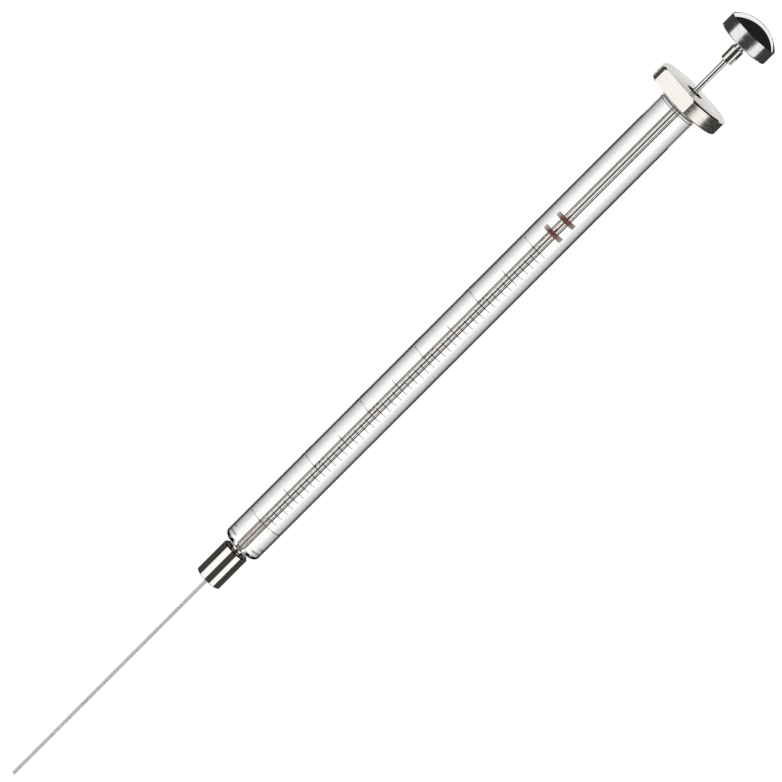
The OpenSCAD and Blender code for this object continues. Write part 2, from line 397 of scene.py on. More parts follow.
# turned brass: warm yellow, a little dulled, with lathe rings
ferrule_brass = metal("brass_turned", "#c9a45c", "#b98f45", 0.22, 0.38, 0.06, 0.0020, specks=0.25)
ferrule = mesh_object("crimped_ferrule", lathe("crimped_ferrule", [
    (ferrule_x0, CRIMPED_R),
    (ferrule_x0, SLEEVE_R - SLEEVE_EDGE),
    (ferrule_x0 + SLEEVE_EDGE, SLEEVE_R),
    # the crimp: a waist rolled into the sleeve
    (ferrule_x0 + 0.14, SLEEVE_R),
    *arc(ferrule_x0 + 0.28, SLEEVE_R + 0.06, 0.12, 210, 330, 8),
    (ferrule_x1 - RIM_T, SLEEVE_R),
    (ferrule_x1 - RIM_T, FERRULE_R - RIM_EDGE),
    (ferrule_x1 - RIM_T + RIM_EDGE, FERRULE_R),
    (ferrule_x1 - RIM_EDGE, FERRULE_R),
    (ferrule_x1, FERRULE_R - RIM_EDGE),
    (ferrule_x1, CRIMPED_R),
], around=96), ferrule_brass)
place(ferrule, "needle", "ferrule_brass", "needle_ferrule")

# punched PTFE: milky white and waxy, with a soft edge and clouds 0.7 mm wide
WASHER_EDGE = 0.08
ptfe, tree = new_material("ptfe_punched")
place_of = add(tree, "ShaderNodeTexCoord").outputs["Object"]
cloud = add(tree, "ShaderNodeTexNoise", {"Vector": place_of, "Scale": 1.4 / MM, "Detail": 4.0})
milky = add(tree, "ShaderNodeMix", {"Factor": cloud, "A": linear("#e9e7e1"), "B": linear("#f1efea")},
            data_type="RGBA")
waxy = add(tree, "ShaderNodeMapRange", {"Value": cloud, "To Min": 0.38, "To Max": 0.55})
bump = add(tree, "ShaderNodeBump", {"Height": cloud, "Distance": 0.004 * MM})
shader = add(tree, "ShaderNodeBsdfPrincipled", {"Base Color": milky, "IOR": 1.38, "Roughness": waxy,
                                                "Normal": bump})
add(tree, "ShaderNodeOutputMaterial", {"Surface": shader})
washer = mesh_object("seal_ring", lathe("seal_ring", [
    (ferrule_x1, NEEDLE_HOLE_R),
    *arc(ferrule_x1 + WASHER_EDGE, FERRULE_R - WASHER_EDGE, WASHER_EDGE, 180, 90, 4),
    *arc(washer_x1 - WASHER_EDGE, FERRULE_R - WASHER_EDGE, WASHER_EDGE, 90, 0, 4),
    (washer_x1, NEEDLE_HOLE_R),
], around=96), ptfe)
place(washer, "needle", "washer_ptfe", "seal_washer")


# ---------------------------------------------------------------------------
# Needle nut: brass bar turned, threaded inside and chromium plated to a mirror.
# Screwed up the nipple, it clamps the ferrule and the washer.

nut_lo, nut_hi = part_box("needle_nut")
nut_x0, nut_x1 = nut_lo.x / MM, nut_hi.x / MM
NUT_R = nut_hi.z / MM
NUT_BORE_R = 1.75
NUT_FRONT_T = 1.0
NUT_FRONT_CHAMFER = 0.08
NUT_BACK_CHAMFER = 0.22
PITCH = 0.5
THREAD_DEPTH = 0.20
# the thread starts just past the washer, and its mouth is chamfered
NUT_MOUTH = 0.10
NUT_THREAD_X0, NUT_THREAD_X1 = washer_x1 + 0.05, nut_x1 - NUT_MOUTH
SLEEVE_HOLE_R = SLEEVE_R + CLEARANCE
SLEEVE_HOLE_X = nut_x0 + NUT_FRONT_T / 2 - CLEARANCE


def thread_profile(phase):
    """Height of a thread, from 0 at its root to 1 at its crest, over one pitch."""
    phase = phase % 1
    rise, flat = 0.36, 0.14
    if phase < rise:
        return phase / rise
    if phase < rise + flat:
        return 1
    if phase < 2 * rise + flat:
        return 1 - (phase - rise - flat) / rise
    return 0


def threaded(name, x0, x1, base, depth, lead_in, around, inside=False, per_turn=10):
    """A right-hand thread from x0 to x1, in mm, as an open surface whose rows follow the helix.
    It stands depth off the base radius, and runs out over lead_in at each end."""
    surface = bmesh.new()
    first, last = math.floor(x0 / PITCH) - 1, math.ceil(x1 / PITCH) + 2
    columns = []
    for i in range(around + 1):
        a = 2 * math.pi * i / around
        column = []
        for j in range((last - first) * per_turn + 1):
            x = (first + j / per_turn - i / around) * PITCH
            kept = min(max(x, x0), x1)
            fade = min(1, (kept - x0) / lead_in, (x1 - kept) / lead_in)
            height = thread_profile(j / per_turn)
            r = base - depth * fade * (1 - height) if inside else base + depth * fade * height
            column.append(surface.verts.new((kept * MM, r * MM * math.sin(a), r * MM * math.cos(a))))
        columns.append(column)
    for i in range(around):
        for j in range(len(columns[0]) - 1):
            surface.faces.new((columns[i][j], columns[i][j + 1], columns[i + 1][j + 1], columns[i + 1][j]))
    bmesh.ops.remove_doubles(surface, verts=surface.verts, dist=1e-8)
    mesh = bpy.data.meshes.new(name)
    surface.to_mesh(mesh)
    surface.free()
    return mesh


def welded(name, meshes, sharp=30):
    """One closed, smooth-shaded mesh of several that meet edge to edge."""
    whole = bmesh.new()
    for mesh in meshes:
        whole.from_mesh(mesh)
    bmesh.ops.remove_doubles(whole, verts=whole.verts, dist=1e-7)
    bmesh.ops.dissolve_degenerate(whole, edges=whole.edges, dist=1e-8)
    bmesh.ops.recalc_face_normals(whole, faces=whole.faces)
    mesh = bpy.data.meshes.new(name)
    whole.to_mesh(mesh)
    whole.free()
    mesh.shade_smooth()
    mesh.set_sharp_from_angle(angle=math.radians(sharp))
    return mesh


# bright chromium plate: a mirror, faintly warm, with the rings of the turning showing through
nut_chrome = metal("chromium_plated_mirror", "#fefcf8", "#faf7f2", 0.035, 0.075, 0.10, 0.00012)
NUT_SIDES = 192
NUT_LEAD_IN = 0.3
nut_body = lathe("nut_body", [
    (NUT_THREAD_X0, NUT_BORE_R),
    (nut_x0 + NUT_FRONT_T, NUT_BORE_R),
    (nut_x0 + NUT_FRONT_T, SLEEVE_HOLE_R),
    (SLEEVE_HOLE_X, SLEEVE_HOLE_R),
    (SLEEVE_HOLE_X, NEEDLE_HOLE_R),
    (nut_x0, NEEDLE_HOLE_R),
    (nut_x0, NUT_R - NUT_FRONT_CHAMFER),
    (nut_x0 + NUT_FRONT_CHAMFER, NUT_R),
    (nut_x1 - NUT_BACK_CHAMFER, NUT_R),
    (nut_x1, NUT_R - NUT_BACK_CHAMFER),
    (nut_x1, NUT_BORE_R + NUT_MOUTH),
    (NUT_THREAD_X1, NUT_BORE_R),
], around=NUT_SIDES, closed=False)
nut_thread = threaded("nut_thread", NUT_THREAD_X0, NUT_THREAD_X1, NUT_BORE_R, THREAD_DEPTH, NUT_LEAD_IN,
                      NUT_SIDES, inside=True)
nut = mesh_object("needle_nut_plated", welded("needle_nut_plated", [nut_body, nut_thread]), nut_chrome)
place(nut, "nut", "nut_chrome", "needle_nut")


# ---------------------------------------------------------------------------
# Nipple: a stainless steel stud turned in one piece: a thread for the nut, a neck that
# seats on the glass and a spigot that is cemented into the end of the bore.

nipple_lo, nipple_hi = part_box("front_nipple")
stud_x0, nipple_x1 = nipple_lo.x / MM, nipple_hi.x / MM
glass_lo, glass_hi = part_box("glass_barrel")
glass_x0, glass_x1 = glass_lo.x / MM, glass_hi.x / MM
STUD_R = nipple_hi.z / MM
NECK_R = 1.2
NECK_X = nut_x1 - 0.9
SPIGOT_R = 0.465
HOLE_R = 0.275
STUD_CHAMFER = 0.12
NECK_ROUND = 0.08
SEAT_GAP = 0.01
SPIGOT_EDGE = 0.06

# stainless steel turned bright, which shows pinkish through the cement
nipple_steel = metal("stainless_steel_turned", "#f4efeb", "#eae4df", 0.07, 0.13, 0.08, 0.0003)
STUD_SIDES = 96
STUD_LEAD_IN = 0.2
STUD_THREAD_X0, STUD_THREAD_X1 = stud_x0 + STUD_CHAMFER, NECK_X - STUD_CHAMFER
THREAD_ROOT = STUD_R - THREAD_DEPTH
stud_body = lathe("stud_body", [
    (STUD_THREAD_X1, THREAD_ROOT),
    (NECK_X - 0.05, THREAD_ROOT - 0.1),
    *arc(NECK_X + NECK_ROUND, NECK_R + NECK_ROUND, NECK_ROUND, 180, 270, 4),
    (glass_x0 - NECK_ROUND, NECK_R),
    (glass_x0 - SEAT_GAP, NECK_R - 0.07),
    (glass_x0 - SEAT_GAP, SPIGOT_R),
    (nipple_x1 - SPIGOT_EDGE, SPIGOT_R),
    (nipple_x1, SPIGOT_R - SPIGOT_EDGE),
    (nipple_x1, HOLE_R),
    (stud_x0, HOLE_R),
    (stud_x0, THREAD_ROOT - STUD_CHAMFER),
    (STUD_THREAD_X0, THREAD_ROOT),
], around=STUD_SIDES, closed=False)
stud_thread = threaded("stud_thread", STUD_THREAD_X0, STUD_THREAD_X1, THREAD_ROOT, THREAD_DEPTH, STUD_LEAD_IN,
                       STUD_SIDES)
nipple = mesh_object("nipple_stud", welded("nipple_stud", [stud_body, stud_thread]), nipple_steel)
place(nipple, "barrel", "nipple_steel", "front_nipple")


# ---------------------------------------------------------------------------
# Cement in the nose: a film of clear pinkish epoxy between the spigot and the bore.
# It is run into the gap and cured there, and holds the nipple in the glass.

# epoxy: glossy, faintly pink and half clear over the bright spigot,
# in streaks 1.4 mm long and 0.4 mm wide
pink_epoxy, tree = new_material("epoxy_clear_pink")
place_of = add(tree, "ShaderNodeTexCoord").outputs["Object"]
streaks = add(tree, "ShaderNodeMapping", {"Vector": place_of, "Scale": (0.7 / MM, 2.6 / MM, 2.6 / MM)})
cloud = add(tree, "ShaderNodeTexNoise", {"Vector": streaks, "Scale": 1.0, "Detail": 3.0})
pink = add(tree, "ShaderNodeMix", {"Factor": cloud, "A": linear("#f6e6e0"), "B": linear("#ecd3cb")},
           data_type="RGBA")
milk = add(tree, "ShaderNodeMapRange", {"Value": cloud, "From Min": 0.3, "From Max": 0.7,
                                        "To Min": 0.02, "To Max": 0.16})
shader = add(tree, "ShaderNodeBsdfPrincipled", {"Base Color": pink, "Roughness": 0.25, "Alpha": milk})
add(tree, "ShaderNodeOutputMaterial", {"Surface": shader})
BORE_R = 0.515
# the film stands off the spigot and wets the bore by this much
WETS = 0.004
nose_cement = mesh_object("nose_cement", lathe("nose_cement", [
    (glass_x0 + SEAT_GAP, SPIGOT_R + WETS),
    (glass_x0 + SEAT_GAP, BORE_R + WETS),
    (nipple_x1, BORE_R + WETS),
    (nipple_x1, SPIGOT_R + WETS),
], around=128), pink_epoxy)
place(nose_cement, "barrel", "cement", "nipple_cement")


# ---------------------------------------------------------------------------
# Barrel: thick-walled borosilicate tube with a precision bore. Its front end is
# fire-polished to a round shoulder, and its rear end is ground for the cement.

BARREL_R = 3.25
SHOULDER_R = 1.3
SHOULDER_SQUASH = 0.72
SHOULDER_X = glass_x0 + SHOULDER_R * SHOULDER_SQUASH
SEAT_R = 3.0
SEAT_CHAMFER = 0.1
BORE_CHAMFER = 0.08
BEAD_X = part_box("flange_cement")[0].x / MM
RING_X = SHOULDER_X + 0.45
RING_W = 0.40


def glass(name, stops, rough=0.0, wall=(), round_only=False, ior=1.47):
    """Clear glass. stops are (share of the way from square-on to edge-on, colour), painted shade for light
    lost in it.
    wall is where a painted dark wall starts and ends, by the same share: painted shade where light strikes
    the bore too flat to enter.
    round_only counts no more slant than the straight tube has at the same place."""
    material, tree = new_material(name)
    place_of = add(tree, "ShaderNodeTexCoord").outputs["Object"]
    # the slant is taken across the tube, so that a look along it doesn't darken the whole of it,
    # and least_level keeps a look straight along it from dividing by nothing
    least_level, edge_share = 0.04, 0.98
    lengthwise = add(tree, "ShaderNodeCombineXYZ", {"X": 1.0})
    lean = add(tree, "ShaderNodeLayerWeight", {"Normal": lengthwise}).outputs["Facing"]
    lean = add(tree, "ShaderNodeMath", {0: 1.0, 1: lean}, operation="SUBTRACT")
    level = add(tree, "ShaderNodeMath", {0: lean, 1: lean}, operation="MULTIPLY")
    level = add(tree, "ShaderNodeMath", {0: 1.0, 1: level}, operation="SUBTRACT")
    level = add(tree, "ShaderNodeMath", {0: level, 1: least_level}, operation="MAXIMUM")
    level = add(tree, "ShaderNodeMath", {0: level}, operation="SQRT")
    square_on = add(tree, "ShaderNodeLayerWeight").outputs["Facing"]
    square_on = add(tree, "ShaderNodeMath", {0: 1.0, 1: square_on}, operation="SUBTRACT")
    if round_only:
        outward = add(tree, "ShaderNodeVectorMath", {0: place_of, 1: (0, 1, 1)}, operation="MULTIPLY")
        outward = add(tree, "ShaderNodeVectorMath", {0: outward}, operation="NORMALIZE")
        straight = add(tree, "ShaderNodeLayerWeight", {"Normal": outward}).outputs["Facing"]
        straight = add(tree, "ShaderNodeMath", {0: 1.0, 1: straight}, operation="SUBTRACT")
        square_on = add(tree, "ShaderNodeMath", {0: square_on, 1: straight}, operation="MAXIMUM")
    share = add(tree, "ShaderNodeMath", {0: square_on, 1: level}, operation="DIVIDE")
    share = add(tree, "ShaderNodeMath", {0: share, 1: edge_share}, operation="MULTIPLY")
    slant = add(tree, "ShaderNodeMath", {0: 1.0, 1: share}, operation="SUBTRACT")
    # cords left by drawing the tube, about 17 mm long and 1 mm wide, make the painted dark edges wander a
    # little
    cords = add(tree, "ShaderNodeMapping", {"Vector": place_of, "Scale": (0.06 / MM, 0.9 / MM, 0.9 / MM)})
    draw = add(tree, "ShaderNodeTexNoise", {"Vector": cords, "Scale": 1.0, "Detail": 2.0})
    wander = add(tree, "ShaderNodeMapRange", {"Value": draw, "To Min": -0.03, "To Max": 0.03})
    where = add(tree, "ShaderNodeMath", {0: slant, 1: wander}, operation="ADD")
    ramp = add(tree, "ShaderNodeValToRGB", {"Fac": where},
               stops=[(position, linear(colour)) for position, colour in stops])
    shown = add(tree, "ShaderNodeBsdfPrincipled", {"Base Color": ramp, "IOR": ior, "Roughness": rough,
                                                   "Transmission Weight": 1.0})
    # the dark wall is painted shade: a dark matt shader mixed in by the slant
    if wall:
        dark = add(tree, "ShaderNodeBsdfPrincipled", {"Base Color": linear("#40342e"), "Roughness": 0.6,
                                                      "Specular IOR Level": 0.0})
        flat = add(tree, "ShaderNodeMapRange", {"Value": where, "From Min": wall[0], "From Max": wall[1]})
        shown = add(tree, "ShaderNodeMixShader", {0: flat, 1: shown, 2: dark})
    # light falls through it, so that it throws no black shadow
    ray = add(tree, "ShaderNodeLightPath").outputs
    lets_light = add(tree, "ShaderNodeMath", {0: ray["Is Shadow Ray"], 1: ray["Is Diffuse Ray"]},
                     operation="MAXIMUM")
    open_air = add(tree, "ShaderNodeBsdfTransparent", {"Color": linear("#f4f4f4")})
    surface = add(tree, "ShaderNodeMixShader", {0: lets_light, 1: shown, 2: open_air})
    add(tree, "ShaderNodeOutputMaterial", {"Surface": surface})
    return material


# polished borosilicate: colourless, with painted shade that makes it grey-blue towards its edges and dark
# along them
barrel_glass = glass("borosilicate_polished", [
    (0.0, "#ffffff"), (0.16, "#f9f9f8"), (0.24, "#d7d7d6"), (0.33, "#b6b6b6"), (0.44, "#9e9e9e"),
    (0.52, "#878786"), (0.58, "#303030"), (0.66, "#202020")])
# the same glass on the wall of the bore, where a painted dark line of shade marks each side
bore_glass = glass("borosilicate_honed_bore", [(0.0, "#ffffff"), (0.4, "#fdf6ee")], wall=(0.31, 0.40))
# the fire-polished shoulder bends light the most; the black at its corners is painted shade
shoulder_glass = glass("borosilicate_fire_polished", [
    (0.0, "#ffffff"), (0.16, "#f4f4f2"), (0.24, "#b4b4b1"), (0.32, "#3a3a38"), (0.40, "#161616"),
    (0.60, "#101010")], round_only=True, ior=1.10)
# a ring behind the shoulder, greyer than the rest by painted shade
shaded_ring_glass = glass("borosilicate_painted_shade_ring", [
    (0.0, "#ffffff"), (0.13, "#f4f4f2"), (0.19, "#6c6c69"), (0.46, "#5c5c59"), (0.55, "#303030"),
    (0.62, "#202020")], round_only=True)
# the ground seat, matt from the wheel, with painted shade that darkens it edge-on
ground_glass = glass("borosilicate_ground", [
    (0.0, "#ffffff"), (0.5, "#f6f4f2"), (0.8, "#8a8887")], rough=0.20)
barrel_mesh = lathe("barrel_tube", [
    (glass_x0, BORE_R + BORE_CHAMFER),
    *[(glass_x0 + (x - glass_x0) * SHOULDER_SQUASH, r) for x, r in
      arc(glass_x0 + SHOULDER_R, BARREL_R - SHOULDER_R, SHOULDER_R, 180, 90, 16)],
    (RING_X, BARREL_R),
    (RING_X + RING_W, BARREL_R),
    (BEAD_X, BARREL_R),
    (BEAD_X, SEAT_R),
    (glass_x1 - SEAT_CHAMFER, SEAT_R),
    (glass_x1, SEAT_R - SEAT_CHAMFER),
    (glass_x1, BORE_R + BORE_CHAMFER),
    (glass_x1 - BORE_CHAMFER, BORE_R),
    (glass_x0 + BORE_CHAMFER, BORE_R),
], around=256)
for finish in (barrel_glass, bore_glass, ground_glass, shoulder_glass, shaded_ring_glass):
    barrel_mesh.materials.append(finish)
for face in barrel_mesh.polygons:
    middle = face.center / MM
    if math.hypot(middle.y, middle.z) < BORE_R + 0.02:
        face.material_index = 1
    elif middle.x > BEAD_X - 0.001:
        face.material_index = 2
    elif middle.x < SHOULDER_X:
        face.material_index = 3
    elif RING_X < middle.x < RING_X + RING_W:
        face.material_index = 4
barrel = mesh_object("barrel_tube", barrel_mesh)
place(barrel, "barrel", "barrel_glass", "glass_barrel")


# ---------------------------------------------------------------------------
# Scale: sepia ceramic ink screened on the glass and fired. One line to the microlitre,
# longer at each 5 and 10, and the first line runs a third of the way round.

INK_T = 0.03
INK_SUNK = 0.008
LINE_W = 0.15
DIVISIONS = 50
MEDIUM_EVERY = 5
LONG_EVERY = 10
LINE_END = 55.6
SHORT_ANGLE, MEDIUM_ANGLE, LONG_ANGLE = 34.7, 58.5, 87.3
ZERO_ANGLE = 132
scale_lo, scale_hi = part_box("scale_print")
# the outermost lines are centred this far inside the node's ends
CAD_LINE_HALF = 0.11
ZERO_X = scale_lo.x / MM + CAD_LINE_HALF
FULL_X = scale_hi.x / MM - CAD_LINE_HALF
STEP = (FULL_X - ZERO_X) / DIVISIONS
# the ink's top stays a little inside the node's
INK_TRIM = 0.002
INK_TOP = INK_T - INK_TRIM
INK_INNER_R = BARREL_R - INK_SUNK
INK_DEPTH = INK_T + INK_SUNK - INK_TRIM


def fired_ink(name, colour, pale, thickness):
    """Fired ceramic ink: semi-matt, a little uneven where the screen left it thin.
    thickness is (degrees from straight up towards the front, how far the ink covers the glass)."""
    material, tree = new_material(name)
    place_of = add(tree, "ShaderNodeTexCoord").outputs["Object"]
    part = add(tree, "ShaderNodeSeparateXYZ", {0: place_of}).outputs
    front = add(tree, "ShaderNodeMath", {0: part["Y"], 1: -1.0}, operation="MULTIPLY")
    turn = add(tree, "ShaderNodeMath", {0: front, 1: part["Z"]}, operation="ARCTAN2")
    start, end = thickness[0][0], thickness[-1][0]
    way = add(tree, "ShaderNodeMapRange", {"Value": turn, "From Min": math.radians(start),
                                           "From Max": math.radians(end)})
    stops = [((angle - start) / (end - start), (share, share, share, 1)) for angle, share in thickness]
    cover = add(tree, "ShaderNodeValToRGB", {"Fac": way}, stops=stops)
    # the screen's threads, drawn 3.5 to the millimetre so that they show, and patches 1.1 mm wide
    screen = add(tree, "ShaderNodeTexNoise", {"Vector": place_of, "Scale": 3.5 / MM, "Detail": 3.0})
    patches = add(tree, "ShaderNodeTexNoise", {"Vector": place_of, "Scale": 0.9 / MM, "Detail": 1.0})
    both = add(tree, "ShaderNodeMath", {0: screen, 1: patches}, operation="ADD")
    uneven = add(tree, "ShaderNodeMapRange", {"Value": both, "From Min": 0.80, "From Max": 1.25})
    shade = add(tree, "ShaderNodeMix", {"Factor": uneven, "A": linear(colour), "B": linear(pale)},
                data_type="RGBA")
    gloss = add(tree, "ShaderNodeMapRange", {"Value": screen, "To Min": 0.35, "To Max": 0.6})
    bump = add(tree, "ShaderNodeBump", {"Height": screen, "Distance": 0.004 * MM})
    shader = add(tree, "ShaderNodeBsdfPrincipled", {"Base Color": shade, "IOR": 1.5, "Roughness": gloss,
                                                    "Normal": bump, "Alpha": cover})
    add(tree, "ShaderNodeOutputMaterial", {"Surface": shader})
    return material


# sepia ink whose cover changes with the angle round the barrel, as painted shade: heavy where a line starts
# and where it crosses the bore, and thin between
sepia_ink = fired_ink("ceramic_ink_sepia", "#3e322b", "#8f8276", (
    (-90, 0.9), (-31, 0.85), (-20, 0.26), (4, 0.26), (13, 0.8), (36, 0.75), (45, 0.26), (55, 0.26),
    (62, 0.60), (110, 0.9)))


def band_maker(name, ink):
    """A Geometry Nodes tree that bends bars into bands of ink round the barrel, and repeats them along it."""
    tree = bpy.data.node_groups.new(name, "GeometryNodeTree")
    sizes = {
        "Bands": 1, "First": 0.0, "Step": 0.001, "Width": 0.0002, "Inner Radius": 0.003, "Thickness": 0.00003,
        "End Angle": 1.0, "Short": 0.5, "Medium": 0.5, "Long": 0.5, "Medium Every": 5, "Long Every": 10}
    for label, value in sizes.items():
        kind = "NodeSocketInt" if isinstance(value, int) else "NodeSocketFloat"
        tree.interface.new_socket(label, in_out="INPUT", socket_type=kind).default_value = value
    tree.interface.new_socket("Geometry", in_out="OUTPUT", socket_type="NodeSocketGeometry")
    given = add(tree, "NodeGroupInput").outputs

    def bent_band(angle):
        """A closed bar one unit long, wide and thick, bent to the barrel's curve."""
        bar = add(tree, "GeometryNodeMeshCube", {"Size": (1, 1, 1), "Vertices X": 2, "Vertices Y": 2,
                                                 "Vertices Z": 33})
        part = add(tree, "ShaderNodeSeparateXYZ", {0: add(tree, "GeometryNodeInputPosition")}).outputs
        way = add(tree, "ShaderNodeMath", {0: part["Z"], 1: 0.5}, operation="ADD")
        way = add(tree, "ShaderNodeMath", {0: way, 1: angle}, operation="MULTIPLY")
        turn = add(tree, "ShaderNodeMath", {0: given["End Angle"], 1: way}, operation="SUBTRACT")
        rise = add(tree, "ShaderNodeMath", {0: 0.5, 1: part["Y"]}, operation="SUBTRACT")
        rise = add(tree, "ShaderNodeMath", {0: rise, 1: given["Thickness"]}, operation="MULTIPLY")
        radius = add(tree, "ShaderNodeMath", {0: given["Inner Radius"], 1: rise}, operation="ADD")
        along = add(tree, "ShaderNodeMath", {0: part["X"], 1: given["Width"]}, operation="MULTIPLY")
        back = add(tree, "ShaderNodeMath", {0: turn}, operation="SINE")
        back = add(tree, "ShaderNodeMath", {0: radius, 1: back}, operation="MULTIPLY")
        front = add(tree, "ShaderNodeMath", {0: back, 1: -1.0}, operation="MULTIPLY")
        height = add(tree, "ShaderNodeMath", {0: turn}, operation="COSINE")
        height = add(tree, "ShaderNodeMath", {0: radius, 1: height}, operation="MULTIPLY")
        bent = add(tree, "ShaderNodeCombineXYZ", {"X": along, "Y": front, "Z": height})
        return add(tree, "GeometryNodeSetPosition", {"Geometry": bar, "Position": bent})

    kinds = add(tree, "GeometryNodeGeometryToInstance")
    for angle in ("Short", "Medium", "Long"):
        tree.links.new(bent_band(given[angle]).outputs[0], kinds.inputs[0])
    start = add(tree, "ShaderNodeCombineXYZ", {"X": given["First"]})
    stride = add(tree, "ShaderNodeCombineXYZ", {"X": given["Step"]})
    stations = add(tree, "GeometryNodeMeshLine", {"Count": given["Bands"], "Start Location": start,
                                                  "Offset": stride}, mode="OFFSET")
    # a band gets one point for each interval that it doesn't fall on, and the kinds stand longest first
    number = add(tree, "ShaderNodeMath", {0: add(tree, "GeometryNodeInputIndex"), 1: 1.0}, operation="ADD")
    points = 0.0
    for every in ("Medium Every", "Long Every"):
        rest = add(tree, "ShaderNodeMath", {0: number, 1: given[every]}, operation="MODULO")
        missed = add(tree, "ShaderNodeMath", {0: rest, 1: 0.5}, operation="GREATER_THAN")
        points = add(tree, "ShaderNodeMath", {0: missed, 1: points}, operation="ADD")
    repeated = add(tree, "GeometryNodeInstanceOnPoints", {"Points": stations, "Instance": kinds,
                                                          "Pick Instance": True, "Instance Index": points})
    real = add(tree, "GeometryNodeRealizeInstances", {"Geometry": repeated})
    inked = add(tree, "GeometryNodeSetMaterial", {"Geometry": real, "Material": ink})
    add(tree, "NodeGroupOutput", {"Geometry": inked})
    return tree


def made_by(tree, name, **values):
    """The mesh that a Geometry Nodes tree makes from these inputs."""
    holder = mesh_object(name + "_holder", bpy.data.meshes.new(name + "_holder"))
    modifier = holder.modifiers.new(name, "NODES")
    modifier.node_group = tree
    sockets = {item.name: item.identifier for item in tree.interface.items_tree if item.in_out == "INPUT"}
    for label, value in values.items():
        modifier[sockets[label.replace("_", " ")]] = value
    holder.data.update()
    mesh = bpy.data.meshes.new_from_object(holder.evaluated_get(bpy.context.evaluated_depsgraph_get()))
    bpy.data.objects.remove(holder)
    mesh.name = name
    return mesh


ink_bands = band_maker("ink_bands", sepia_ink)
lines_mesh = made_by(
    ink_bands, "scale_lines", Bands=DIVISIONS, First=(ZERO_X + STEP) * MM, Step=STEP * MM, Width=LINE_W * MM,
    Inner_Radius=INK_INNER_R * MM, Thickness=INK_DEPTH * MM,
    End_Angle=math.radians(LINE_END), Short=math.radians(SHORT_ANGLE), Medium=math.radians(MEDIUM_ANGLE),
    Long=math.radians(LONG_ANGLE), Medium_Every=MEDIUM_EVERY, Long_Every=LONG_EVERY)

# the first line, longer than the rest
zero_mesh = made_by(
    ink_bands, "zero_line", Bands=1, First=ZERO_X * MM, Width=LINE_W * MM,
    Inner_Radius=INK_INNER_R * MM, Thickness=INK_DEPTH * MM,
    End_Angle=math.radians(LINE_END - LONG_ANGLE + ZERO_ANGLE), Short=math.radians(ZERO_ANGLE),
    Medium=math.radians(ZERO_ANGLE), Long=math.radians(ZERO_ANGLE))

# the numbers read with the needle to the left, beyond the ends of the long lines
NUMBER_SIZE = 2.55
NUMBER_FOOT = -44.0
NUMBER_CUTS, CUTS_TO_SIZE = 15, 20
LAST_NUMBER_SHIFT = 1.9


def wrapped_text(word, x, foot_angle, size):
    """A number as a thin closed mesh on the barrel: it runs along it, with its foot at foot_angle."""
    curve = bpy.data.curves.new(word, "FONT")
    curve.body = word
    curve.align_x = "CENTER"
    curve.size = size * MM
    curve.extrude = 0.5
    curve.resolution_u = 3
    holder = mesh_object("word_" + word, curve)
    mesh = bpy.data.meshes.new_from_object(holder.evaluated_get(bpy.context.evaluated_depsgraph_get()))
    bpy.data.objects.remove(holder)
    cut = bmesh.new()
    cut.from_mesh(mesh)
    bmesh.ops.remove_doubles(cut, verts=cut.verts, dist=1e-8)
    # cut across the digits, so that they follow the curve of the glass
    for i in range(1, NUMBER_CUTS + 1):
        height = size * MM * i / CUTS_TO_SIZE
        bmesh.ops.bisect_plane(cut, geom=cut.verts[:] + cut.edges[:] + cut.faces[:],
                               plane_co=(0, height, 0), plane_no=(0, 1, 0))
    for vert in cut.verts:
        flat = vert.co.copy()
        turn = math.radians(foot_angle) - flat.y / (BARREL_R * MM)
        r = (BARREL_R + (INK_TOP if flat.z > 0 else -INK_SUNK)) * MM
        vert.co = (x * MM + flat.x, -r * math.sin(turn), r * math.cos(turn))
    bmesh.ops.recalc_face_normals(cut, faces=cut.faces)
    cut.to_mesh(mesh)
    cut.free()
    return mesh


def joined(name, meshes, material):
    """One mesh of several, in one material."""
    whole = bmesh.new()
    for mesh in meshes:
        whole.from_mesh(mesh)
    for face in whole.faces:
        face.material_index = 0
    mesh = bpy.data.meshes.new(name)
    whole.to_mesh(mesh)
    whole.free()
    mesh.materials.append(material)
    return mesh


numbers = []
for i in range(LONG_EVERY, DIVISIONS + 1, LONG_EVERY):
    shift = LAST_NUMBER_SHIFT if i == DIVISIONS else 0
    numbers.append(wrapped_text(str(i), ZERO_X + i * STEP + shift, NUMBER_FOOT, NUMBER_SIZE))
scale_mesh = joined("scale_and_numbers", [zero_mesh, lines_mesh, *numbers], sepia_ink)
scale = mesh_object("scale_and_numbers", scale_mesh)
place(scale, "barrel", "scale_ink", "scale_print")


# ---------------------------------------------------------------------------
# Coloured bars: two plain bands of brown-red ceramic ink past the end of the scale,
# screened on the glass and fired as the lines are.

mark_x0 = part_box("mark_print")[0].x / MM
BAR_W = 0.8
BAR_GAP = 2.0
BAR_ANGLE = 62

# iron-red ceramic ink, thinner and paler towards the screen's edges
red_ink = fired_ink("ceramic_ink_iron_red", "#843c30", "#b57a6e", (
    (-90, 0.75), (0, 0.45), (14, 0.85), (36, 0.8), (56, 0.5), (110, 0.5)))
bars_mesh = made_by(
    band_maker("bar_bands", red_ink), "coloured_bars", Bands=2, First=(mark_x0 + BAR_W / 2) * MM,
    Step=(BAR_W + BAR_GAP) * MM, Width=BAR_W * MM, Inner_Radius=INK_INNER_R * MM, Thickness=INK_DEPTH * MM,
    End_Angle=math.radians(LINE_END), Short=math.radians(BAR_ANGLE), Medium=math.radians(BAR_ANGLE),
    Long=math.radians(BAR_ANGLE))
bars = mesh_object("coloured_bars", joined("coloured_bars", [bars_mesh], red_ink))
place(bars, "barrel", "mark_ink", "mark_print")


# ---------------------------------------------------------------------------
# Cement at the flange: cream epoxy that fills the socket round the ground end of
# the glass and stands out as a small bead in the corner in front of the flange.

